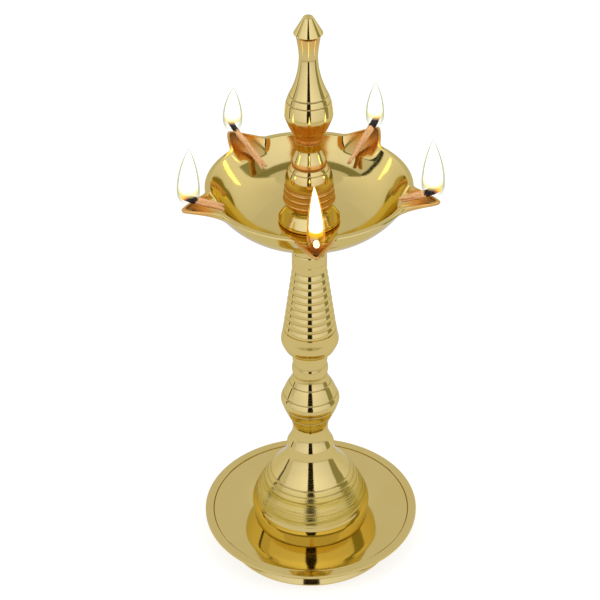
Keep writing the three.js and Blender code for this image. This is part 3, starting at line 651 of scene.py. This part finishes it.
def mixed(tree, factor, a, b):
    """A colour between two colours."""
    made = node(tree, "ShaderNodeMix", {0: factor, 6: a, 7: b}, data_type="RGBA")
    return made.outputs[2]


def spread(tree, value, start, end, low=0.0, high=1.0):
    """A number carried from one range to another, held at its ends."""
    inputs = {"Value": value, "From Min": start, "From Max": end, "To Min": low, "To Max": high}
    return node(tree, "ShaderNodeMapRange", inputs).outputs[0]


def noise(tree, vector, scale, detail, rough=0.5):
    """Smooth noise at one scale."""
    inputs = {"Vector": vector, "Scale": scale, "Detail": detail, "Roughness": rough}
    return node(tree, "ShaderNodeTexNoise", inputs).outputs[0]


def attribute(tree, name):
    """A value that the mesh carries on its points."""
    return node(tree, "ShaderNodeAttribute", attribute_name=name).outputs["Fac"]


def round_axis(tree):
    """A place on the piece, and the same place as (distance from the lamp's axis, 0, height)."""
    where = node(tree, "ShaderNodeTexCoord").outputs["Object"]
    to_axis = {"Vector": where, "Location": tuple(-AXIS)}
    centred = node(tree, "ShaderNodeMapping", to_axis).outputs[0]
    parts = node(tree, "ShaderNodeSeparateXYZ", {0: centred})
    flat = node(tree, "ShaderNodeCombineXYZ", {0: parts.outputs[0], 1: parts.outputs[1]})
    away = node(tree, "ShaderNodeVectorMath", {0: flat.outputs[0]}, operation="LENGTH")
    rings = node(tree, "ShaderNodeCombineXYZ", {0: away.outputs["Value"], 2: parts.outputs[2]})
    return centred, rings.outputs[0]


def brass_finish(name, near_flames=False, streaked=False):
    """Polished brass: faint patches of warmer colour, fine turning lines round the axis, small
    pits, painted shade where it is creased, and soot at the spouts' tips. Near a flame it goes
    copper-brown, and on the finial that colour is also painted warm reflection of the bowl and
    flames. Where the polishing wheel didn't reach, the tool's marks still show as streaks, and
    that band is darkened with painted shade."""
    material, tree, shader = material_tree(name)
    where, rings = round_axis(tree)
    patches = spread(tree, noise(tree, where, 38.0, 3.0), 0.35, 0.7)
    lines = noise(tree, rings, 1500.0, 1.0)
    bands = noise(tree, rings, 160.0, 1.0)
    pits = spread(tree, noise(tree, where, 900.0, 1.0), 0.74, 0.8)
    crease = attribute(tree, "crease")
    colour = mixed(tree, patches, BRASS, BRASS_WARM)
    colour = mixed(tree, maths(tree, "MULTIPLY", pits, 0.25), colour, BRASS_DIRT_AND_SHADE)
    scaled = {0: lines, 1: 0.07, 2: BRASS_ROUGH}
    grain = node(tree, "ShaderNodeMath", scaled, operation="MULTIPLY_ADD").outputs[0]
    roughness = maths(tree, "ADD", grain, maths(tree, "MULTIPLY", patches, 0.035))
    roughness = maths(tree, "ADD", roughness, maths(tree, "MULTIPLY", crease, 0.3), clamp=True)
    if near_flames:
        # Scorch near the flames; on the finial it is also painted warm reflection of the bowl and
        # flames
        scorch_and_reflection = attribute(tree, "scorch_and_reflection")
        mottle = spread(tree, noise(tree, where, 260.0, 3.0), 0.3, 0.6, 0.7, 1.0)
        broken = maths(tree, "MULTIPLY", scorch_and_reflection, mottle)
        colour = mixed(tree, broken, colour, BRASS_SCORCH_AND_REFLECTION)
        roughness = maths(tree, "ADD", roughness, maths(tree, "MULTIPLY", broken, 0.3))
    # Painted shade in creases, and soot at the spouts' tips
    colour = mixed(tree, maths(tree, "MULTIPLY", crease, 0.7), colour, BRASS_DIRT_AND_SHADE)
    shader.inputs["Metallic"].default_value = 1.0
    shader.inputs["Specular Tint"].default_value = BRASS_GRAZING
    shallow, deep = maths(tree, "MULTIPLY", lines, 0.02), maths(tree, "MULTIPLY", bands, 0.4)
    relief = maths(tree, "ADD", shallow, deep)
    if streaked:
        flattened = {"Vector": where, "Scale": (0.05, 0.05, 1.0)}
        flat = node(tree, "ShaderNodeMapping", flattened).outputs[0]
        tool_marks_and_shade = attribute(tree, "tool_marks_and_shade")
        streak = noise(tree, flat, 430.0, 3.0, 0.6)
        scraped = maths(tree, "MULTIPLY", maths(tree, "MULTIPLY", streak, tool_marks_and_shade), STREAK_DEPTH)
        relief = maths(tree, "ADD", relief, scraped)
        # Painted shade: the marked band is darkened, most along its streaks
        painted_shade = maths(tree, "MULTIPLY", tool_marks_and_shade, spread(tree, streak, 0.35, 0.6, 1.0, 0.4))
        colour = mixed(tree, painted_shade, colour, BRASS_PAINTED_SHADE)
        roughness = maths(tree, "ADD", roughness, maths(tree, "MULTIPLY", tool_marks_and_shade, 0.12))
    tree.links.new(colour, shader.inputs["Base Color"])
    tree.links.new(roughness, shader.inputs["Roughness"])
    raised = {"Height": relief, "Strength": BRASS_RELIEF, "Distance": 0.0001}
    bump = node(tree, "ShaderNodeBump", raised)
    tree.links.new(bump.outputs[0], shader.inputs["Normal"])
    return material


def steel_finish(name):
    """Plain steel with turning lines and a little grime."""
    material, tree, shader = material_tree(name)
    where, rings = round_axis(tree)
    lines = noise(tree, rings, 1500.0, 3.0)
    grime_and_shade = spread(tree, noise(tree, where, 240.0, 4.0), 0.45, 0.7)
    colour = mixed(tree, grime_and_shade, (0.56, 0.55, 0.53, 1), (0.3, 0.27, 0.23, 1))
    tree.links.new(colour, shader.inputs["Base Color"])
    tree.links.new(spread(tree, lines, 0.3, 0.7, 0.26, 0.42), shader.inputs["Roughness"])
    shader.inputs["Metallic"].default_value = 1.0
    return material


def seal_finish(name):
    """Matt black rubber, dusty in places."""
    material, tree, shader = material_tree(name)
    where = round_axis(tree)[0]
    dust = spread(tree, noise(tree, where, 500.0, 4.0), 0.4, 0.75)
    colour = mixed(tree, dust, (0.022, 0.02, 0.018, 1), (0.07, 0.06, 0.05, 1))
    tree.links.new(colour, shader.inputs["Base Color"])
    shader.inputs["Roughness"].default_value = 0.75
    return material


def wick_finish(name, hottest):
    """Oil-soaked cotton: tan fibres along the ply, then black char, then a glowing end."""
    material, tree, shader = material_tree(name)
    where = node(tree, "ShaderNodeTexCoord").outputs["Object"]
    fibre = attribute(tree, "fibre")
    strand = node(tree, "ShaderNodeCombineXYZ", {0: fibre})
    hairs = noise(tree, strand.outputs[0], 9.0, 3.0)
    fluff = noise(tree, where, 700.0, 4.0)
    shade = maths(tree, "MULTIPLY", spread(tree, hairs, 0.35, 0.65), 0.6)
    shade = maths(tree, "ADD", shade, spread(tree, fluff, 0.3, 0.7, 0.0, 0.4))
    cotton = mixed(tree, shade, (0.60, 0.28, 0.10, 1), (0.95, 0.58, 0.27, 1))
    char = attribute(tree, "char")
    ragged = maths(tree, "ADD", char, spread(tree, fluff, 0.3, 0.7, -0.3, 0.3))
    burnt = spread(tree, ragged, 0.35, 0.65)
    colour = mixed(tree, burnt, cotton, (0.012, 0.009, 0.008, 1))
    tree.links.new(colour, shader.inputs["Base Color"])
    tree.links.new(spread(tree, burnt, 0.0, 1.0, 0.5, 0.85), shader.inputs["Roughness"])
    ember = attribute(tree, "ember")
    glow = mixed(tree, ember, (0.9, 0.12, 0.01, 1), hottest)
    tree.links.new(glow, shader.inputs["Emission Color"])
    tree.links.new(maths(tree, "MULTIPLY", ember, 1.6), shader.inputs["Emission Strength"])
    height = maths(tree, "ADD", maths(tree, "MULTIPLY", hairs, 0.6), fluff)
    bump = node(tree, "ShaderNodeBump", {"Height": height, "Strength": 0.4, "Distance": 0.0002})
    tree.links.new(bump.outputs[0], shader.inputs["Normal"])
    return material


def flame_core_finish(name, low, fades_in, whitens):
    """The bright body of a flame: clear at the foot, then its low colour, then white."""
    material, tree, shader = material_tree(name)
    rise = attribute(tree, "rise")
    colour = mixed(tree, spread(tree, rise, *whitens), low, (1.0, 0.93, 0.76, 1))
    light = spread(tree, rise, *whitens, 1.0, 2.6)
    emission = node(tree, "ShaderNodeEmission", {"Color": colour, "Strength": light})
    clear = node(tree, "ShaderNodeBsdfTransparent", {"Color": (1, 1, 1, 1)})
    body = spread(tree, rise, *fades_in)
    ends = {0: body, 1: clear.outputs[0], 2: emission.outputs[0]}
    both = node(tree, "ShaderNodeMixShader", ends)
    tree.nodes.remove(shader)
    tree.links.new(both.outputs[0], tree.nodes["Material Output"].inputs["Surface"])
    return material


def flame_mantle_finish(name, tint, strength):
    """The thin skin of a flame, which dims what is behind it and glows a little."""
    material, tree, shader = material_tree(name)
    rise = attribute(tree, "rise")
    glow = mixed(tree, spread(tree, rise, 0.2, 0.6), (1.0, 0.42, 0.06, 1), (1.0, 0.58, 0.12, 1))
    emission = node(tree, "ShaderNodeEmission", {"Color": glow})
    facing = node(tree, "ShaderNodeLayerWeight", {"Blend": 0.5}).outputs["Facing"]
    edge = maths(tree, "MULTIPLY", spread(tree, facing, 0.25, 0.5), spread(tree, rise, 0.02, 0.2))
    veil = mixed(tree, edge, (1, 1, 1, 1), tint)
    clear = node(tree, "ShaderNodeBsdfTransparent", {"Color": veil})
    tree.links.new(maths(tree, "MULTIPLY", edge, strength), emission.inputs["Strength"])
    both = node(tree, "ShaderNodeAddShader", {0: emission.outputs[0], 1: clear.outputs[0]})
    tree.nodes.remove(shader)
    tree.links.new(both.outputs[0], tree.nodes["Material Output"].inputs["Surface"])
    return material


# Studio: lengths in millimetres, azimuths in degrees from the camera's, and levels of light

PANEL_R = 600.0
PANEL_HEIGHT = 200.0
PANEL_FOOT = -19.0
PANEL_ROWS = 24
SOFTBOX = (0.91, 0.95, 1.62)
SOFTBOX_TOP = 58
GAP = 9.5
FAR = 76.0
SOFTBOX_HEIGHTS = (0, 170, 300, 450, 600, 760)
SOFTBOX_LEVELS = (0.98, 1.08, 1.1, 1.2, 1.22, 1.1)
SOFTBOX_FADE = 0.82
SIDE_LEVELS = (1.2, 1.25, 1.3, 1.4, 1.4, 1.3)
WALL_FADE = 0.76
ROOM = (0.66, 0.67, 0.98)
FLOOR_GREY = (0.42, 0.42, 0.42, 1)
FLOOR_GLOW = 0.68
FLOOR_REFLECTED = 1.12


def camera():
    """The camera: it looks down at the lamp from the front, turned a little to its left."""
    data = bpy.data.cameras.new("camera")
    data.lens = LENS
    data.sensor_width = SENSOR
    data.clip_end = 20
    eye = bpy.data.objects.new("camera", data)
    bpy.context.scene.collection.objects.link(eye)
    turn = Matrix.Rotation(CAMERA_TURN, 3, "Z")
    back = turn @ Vector((0, -math.cos(CAMERA_ELEVATION), math.sin(CAMERA_ELEVATION)))
    right = turn @ Vector((1, 0, 0))
    up = back.cross(right)
    rolled_right = math.cos(CAMERA_ROLL) * right + math.sin(CAMERA_ROLL) * up
    rolled_up = math.cos(CAMERA_ROLL) * up - math.sin(CAMERA_ROLL) * right
    look = Vector(AXIS) + turn @ Vector((LOOK_RIGHT, 0, 0)) + Vector((0, 0, LOOK_HEIGHT))
    basis = Matrix((rolled_right, rolled_up, back)).transposed().to_4x4()
    basis.translation = look + back * CAMERA_DISTANCE
    eye.matrix_world = basis
    bpy.context.scene.camera = eye


def glow_finish(name, colour):
    """A light-giving surface, as bright at each point as the mesh says."""
    material, tree, shader = material_tree(name)
    light = {"Color": (*colour, 1), "Strength": attribute(tree, "level")}
    emission = node(tree, "ShaderNodeEmission", light)
    tree.nodes.remove(shader)
    tree.links.new(emission.outputs[0], tree.nodes["Material Output"].inputs["Surface"])
    material.cycles.emission_sampling = "NONE"
    return material


def panel(name, azimuths, elevations, colour, levels=(1.0,), fade=1.0, sag=(0, 0)):
    """A reflection panel: a patch of a sphere round the lamp, between two azimuths from the
    camera's and two elevations, which only polished surfaces see. Its light changes with
    the height, through the levels at the softbox heights, and falls towards its far side.
    Its lower and upper edge sag as a straight beam's do, by so much at a softbox's far side."""
    turn = np.linspace(*azimuths, PANEL_ROWS)
    lower, upper = (edge - drop * (turn / FAR) ** 2 for edge, drop in zip(elevations, sag))
    azimuth = np.radians(turn) + CAMERA_TURN
    up_share = np.linspace(0, 1, PANEL_ROWS)[:, None]
    elevation = np.radians(lower + (upper - lower) * up_share)
    grid = np.stack([
        PANEL_R * np.cos(elevation) * np.sin(azimuth),
        -PANEL_R * np.cos(elevation) * np.cos(azimuth),
        PANEL_R * np.sin(elevation) + PANEL_HEIGHT + 0 * azimuth,
    ], -1)
    level = np.interp(grid[..., 2], SOFTBOX_HEIGHTS[:len(levels)], levels)
    level = level * np.linspace(1, fade, PANEL_ROWS)
    mesh = surface(name, grid, {"level": level}, wrap_columns=False)
    mesh.materials.append(glow_finish(name, colour))
    card = bpy.data.objects.new(name, mesh)
    bpy.context.scene.collection.objects.link(card)
    card.visible_camera = False
    card.visible_diffuse = False
    card.visible_shadow = False
    card.visible_transmission = False


def panels():
    """Two large softboxes with the dark gap between them in which the camera stands, the
    table's edge below them, a dark slit above, pale walls, and dark strips beside the walls."""
    lit = (PANEL_FOOT + 1.8, SOFTBOX_TOP)
    for name, side in (("softbox_left", -1), ("softbox_right", 1)):
        span = (side * GAP, side * FAR)
        panel(name, span, lit, SOFTBOX, SOFTBOX_LEVELS, SOFTBOX_FADE, (0, 8))
    panel("table_edge", (-FAR, FAR), (PANEL_FOOT, lit[0]), (0.42, 0.38, 0.3))
    panel("front_gap", (-GAP, GAP), lit, (0.02, 0.015, 0.01))
    panel("wall_left", (-101, -165), (PANEL_FOOT, 66), ROOM, SIDE_LEVELS, WALL_FADE)
    panel("wall_right", (103, 165), (PANEL_FOOT, 66), ROOM, SIDE_LEVELS, WALL_FADE)
    panel("overhead_slit", (-100, 100), (SOFTBOX_TOP, 72), (0.25, 0.25, 0.2), sag=(8, 8))
    panel("left_seam", (-100, -95), (PANEL_FOOT, 60), (0.02, 0.02, 0.015))
    panel("right_curtain", (78, 102), (PANEL_FOOT, 60), (0.30, 0.31, 0.26))


def floor():
    """A plain white floor that keeps the lamp's soft shadow. Polished surfaces see it in the
    room's colour."""
    half = 4.0
    mesh = bpy.data.meshes.new("floor")
    corners = [(-half, -half, 0), (half, -half, 0), (half, half, 0), (-half, half, 0)]
    mesh.from_pydata(corners, [], [(0, 1, 2, 3)])
    material, tree, shader = material_tree("floor")
    ray = node(tree, "ShaderNodeLightPath")
    paper = node(tree, "ShaderNodeBsdfDiffuse", {"Color": FLOOR_GREY})
    white = node(tree, "ShaderNodeEmission", {"Color": (1, 1, 1, 1), "Strength": FLOOR_GLOW})
    seen = node(tree, "ShaderNodeAddShader", {0: paper.outputs[0], 1: white.outputs[0]})
    reflected = {"Color": (*ROOM, 1), "Strength": FLOOR_REFLECTED}
    room = node(tree, "ShaderNodeEmission", reflected)
    ends = {0: ray.outputs["Is Glossy Ray"], 1: seen.outputs[0], 2: room.outputs[0]}
    both = node(tree, "ShaderNodeMixShader", ends)
    tree.nodes.remove(shader)
    tree.links.new(both.outputs[0], tree.nodes["Material Output"].inputs["Surface"])
    material.cycles.emission_sampling = "NONE"
    mesh.materials.append(material)
    ground = bpy.data.objects.new("floor", mesh)
    bpy.context.scene.collection.objects.link(ground)


def world():
    """White behind the lamp for the camera, and an even pale room for everything else."""
    made = bpy.data.worlds.new("room")
    bpy.context.scene.world = made
    made.use_nodes = True
    tree = made.node_tree
    tree.nodes.clear()
    ray = node(tree, "ShaderNodeLightPath")
    colour = mixed(tree, ray.outputs["Is Glossy Ray"], (0.8, 0.8, 0.8, 1), (*ROOM, 1))
    colour = mixed(tree, ray.outputs["Is Camera Ray"], colour, (1, 1, 1, 1))
    sky = node(tree, "ShaderNodeBackground", {"Color": colour, "Strength": 1.0})
    out = node(tree, "ShaderNodeOutputWorld")
    tree.links.new(sky.outputs[0], out.inputs["Surface"])


def lamp_light(name, spot, aim, size, power):
    """A soft area light that only plain surfaces see."""
    data = bpy.data.lights.new(name, "AREA")
    data.shape = "DISK"
    data.size = size
    data.energy = power
    light = bpy.data.objects.new(name, data)
    bpy.context.scene.collection.objects.link(light)
    light.location = spot
    light.rotation_euler = (Vector(aim) - Vector(spot)).to_track_quat("-Z", "Y").to_euler()
    light.visible_camera = False
    light.visible_glossy = False


def studio():
    """Floor, room, panels and two soft lights."""
    world()
    floor()
    panels()
    for name, spot, power in (("key", (-0.9, -0.9, 1.3), 7), ("fill", (0.9, -0.8, 1.2), 6)):
        lamp_light(name, spot, (0, 0, 0.15), 0.9, power)


# The lamp, from the table up

def build():
    """Every piece of the lamp."""
    polished = brass_finish("polished_brass")
    bell_brass = brass_finish("bell_brass", streaked=True)
    bowl_brass = brass_finish("bowl_brass", near_flames=True)
    fire_brass = brass_finish("fire_brass", near_flames=True)
    steel = steel_finish("plain_steel")
    rubber = seal_finish("rubber")
    cotton = wick_finish("oil_soaked_cotton", (1.0, 0.55, 0.06, 1))
    near_cotton = wick_finish("near_cotton", (1.0, 0.84, 0.5, 1))
    core = flame_core_finish("flame_core", (1.0, 0.78, 0.3, 1), (0.2, 0.28), (0.25, 0.4))
    mantle = flame_mantle_finish("flame_mantle", (0.74, 0.75, 0.62, 1), 0.0)
    amber = (1.0, 0.6, 0.02, 1)
    near_core = flame_core_finish("near_flame_core", amber, (0.27, 0.33), (0.37, 0.43))
    near_mantle = flame_mantle_finish("near_flame_mantle", (0.9, 0.8, 0.6, 1), 0.3)

    base = turned("base_skin", base_outline(), 0, BASE_SEGMENTS, tool_marks_and_shade=BELL_MARKS_AND_SHADE)
    place("base_skin", base, bell_brass, "base", "cast_brass", "base")
    knop = turned("knop_skin", knop_outline(), seat_of("knop_stem"))
    place("knop_skin", knop, polished, "knop", "turned_brass", "knop_stem")
    # Less painted shade in the column's bead grooves
    column = turned("column_skin", column_outline(), seat_of("ribbed_column"), grime_and_shade=0.3)
    place("column_skin", column, polished, "column", "turned_brass", "ribbed_column")
    bowl = bowl_mesh(seat_of("five_spout_bowl"))
    place("five_spout_bowl_skin", bowl, bowl_brass, "bowl", "turned_brass", "five_spout_bowl")
    seat = seat_of("finial_base")
    lower = turned("finial_base_skin", finial_base_outline(), seat, scorch_and_reflection=FINIAL_BASE_SCORCH_AND_REFLECTION)
    place("finial_base_skin", lower, fire_brass, "finial_base", "turned_brass", "finial_base")
    seat = seat_of("finial_top")
    upper = turned("finial_top_skin", finial_top_outline(), seat, scorch_and_reflection=FINIAL_TOP_SCORCH_AND_REFLECTION)
    place("finial_top_skin", upper, fire_brass, "finial_top", "turned_brass", "finial_top")

    rings = (
        ("base_washer", 8.6, 1.2, steel, "base", "steel"),
        ("lower_bowl_washer", 8.8, 0.9, rubber, "column", "seal"),
        ("upper_bowl_washer", 13.4, 0.9, rubber, "bowl", "seal"),
    )
    for name, outer, thickness, finish, body, slot in rings:
        outline = ring_outline(SOCKET_R, outer, thickness)
        ring = turned(f"{name}_ring", outline, seat_of(name), SMALL_SEGMENTS, 0.1, wrap_rows=True)
        place(f"{name}_ring", ring, finish, body, slot, name)
    nut = nut_mesh("base_nut_hexagon", "base_nut")
    place("base_nut_hexagon", nut, steel, "base", "steel", "base_nut")
    studs = (("base_stud", 4.0), ("stem_stud", 4.0), ("bowl_stud", 4.0), ("finial_stud", 3.0))
    for name, radius in studs:
        thread = stud_mesh(f"{name}_thread", name, radius)
        place(f"{name}_thread", thread, polished, name, "turned_brass", name)

    for number, name in enumerate(SPOUTS):
        body = f"wick_{name}"
        near = name == "front"
        wick = wick_mesh(name, number)
        place(f"wick_{name}_cotton", wick, near_cotton if near else cotton, body, "cotton", body)
        inner = flame_mesh(f"flame_{name}_core", name, 0)
        place(f"flame_{name}_core", inner, near_core if near else core, body, "cotton")
        outer = flame_mesh(f"flame_{name}_mantle", name, MANTLE)
        place(f"flame_{name}_mantle", outer, near_mantle if near else mantle, body, "cotton")


camera()
studio()
build()
bpy.context.scene.view_settings.view_transform = "Standard"
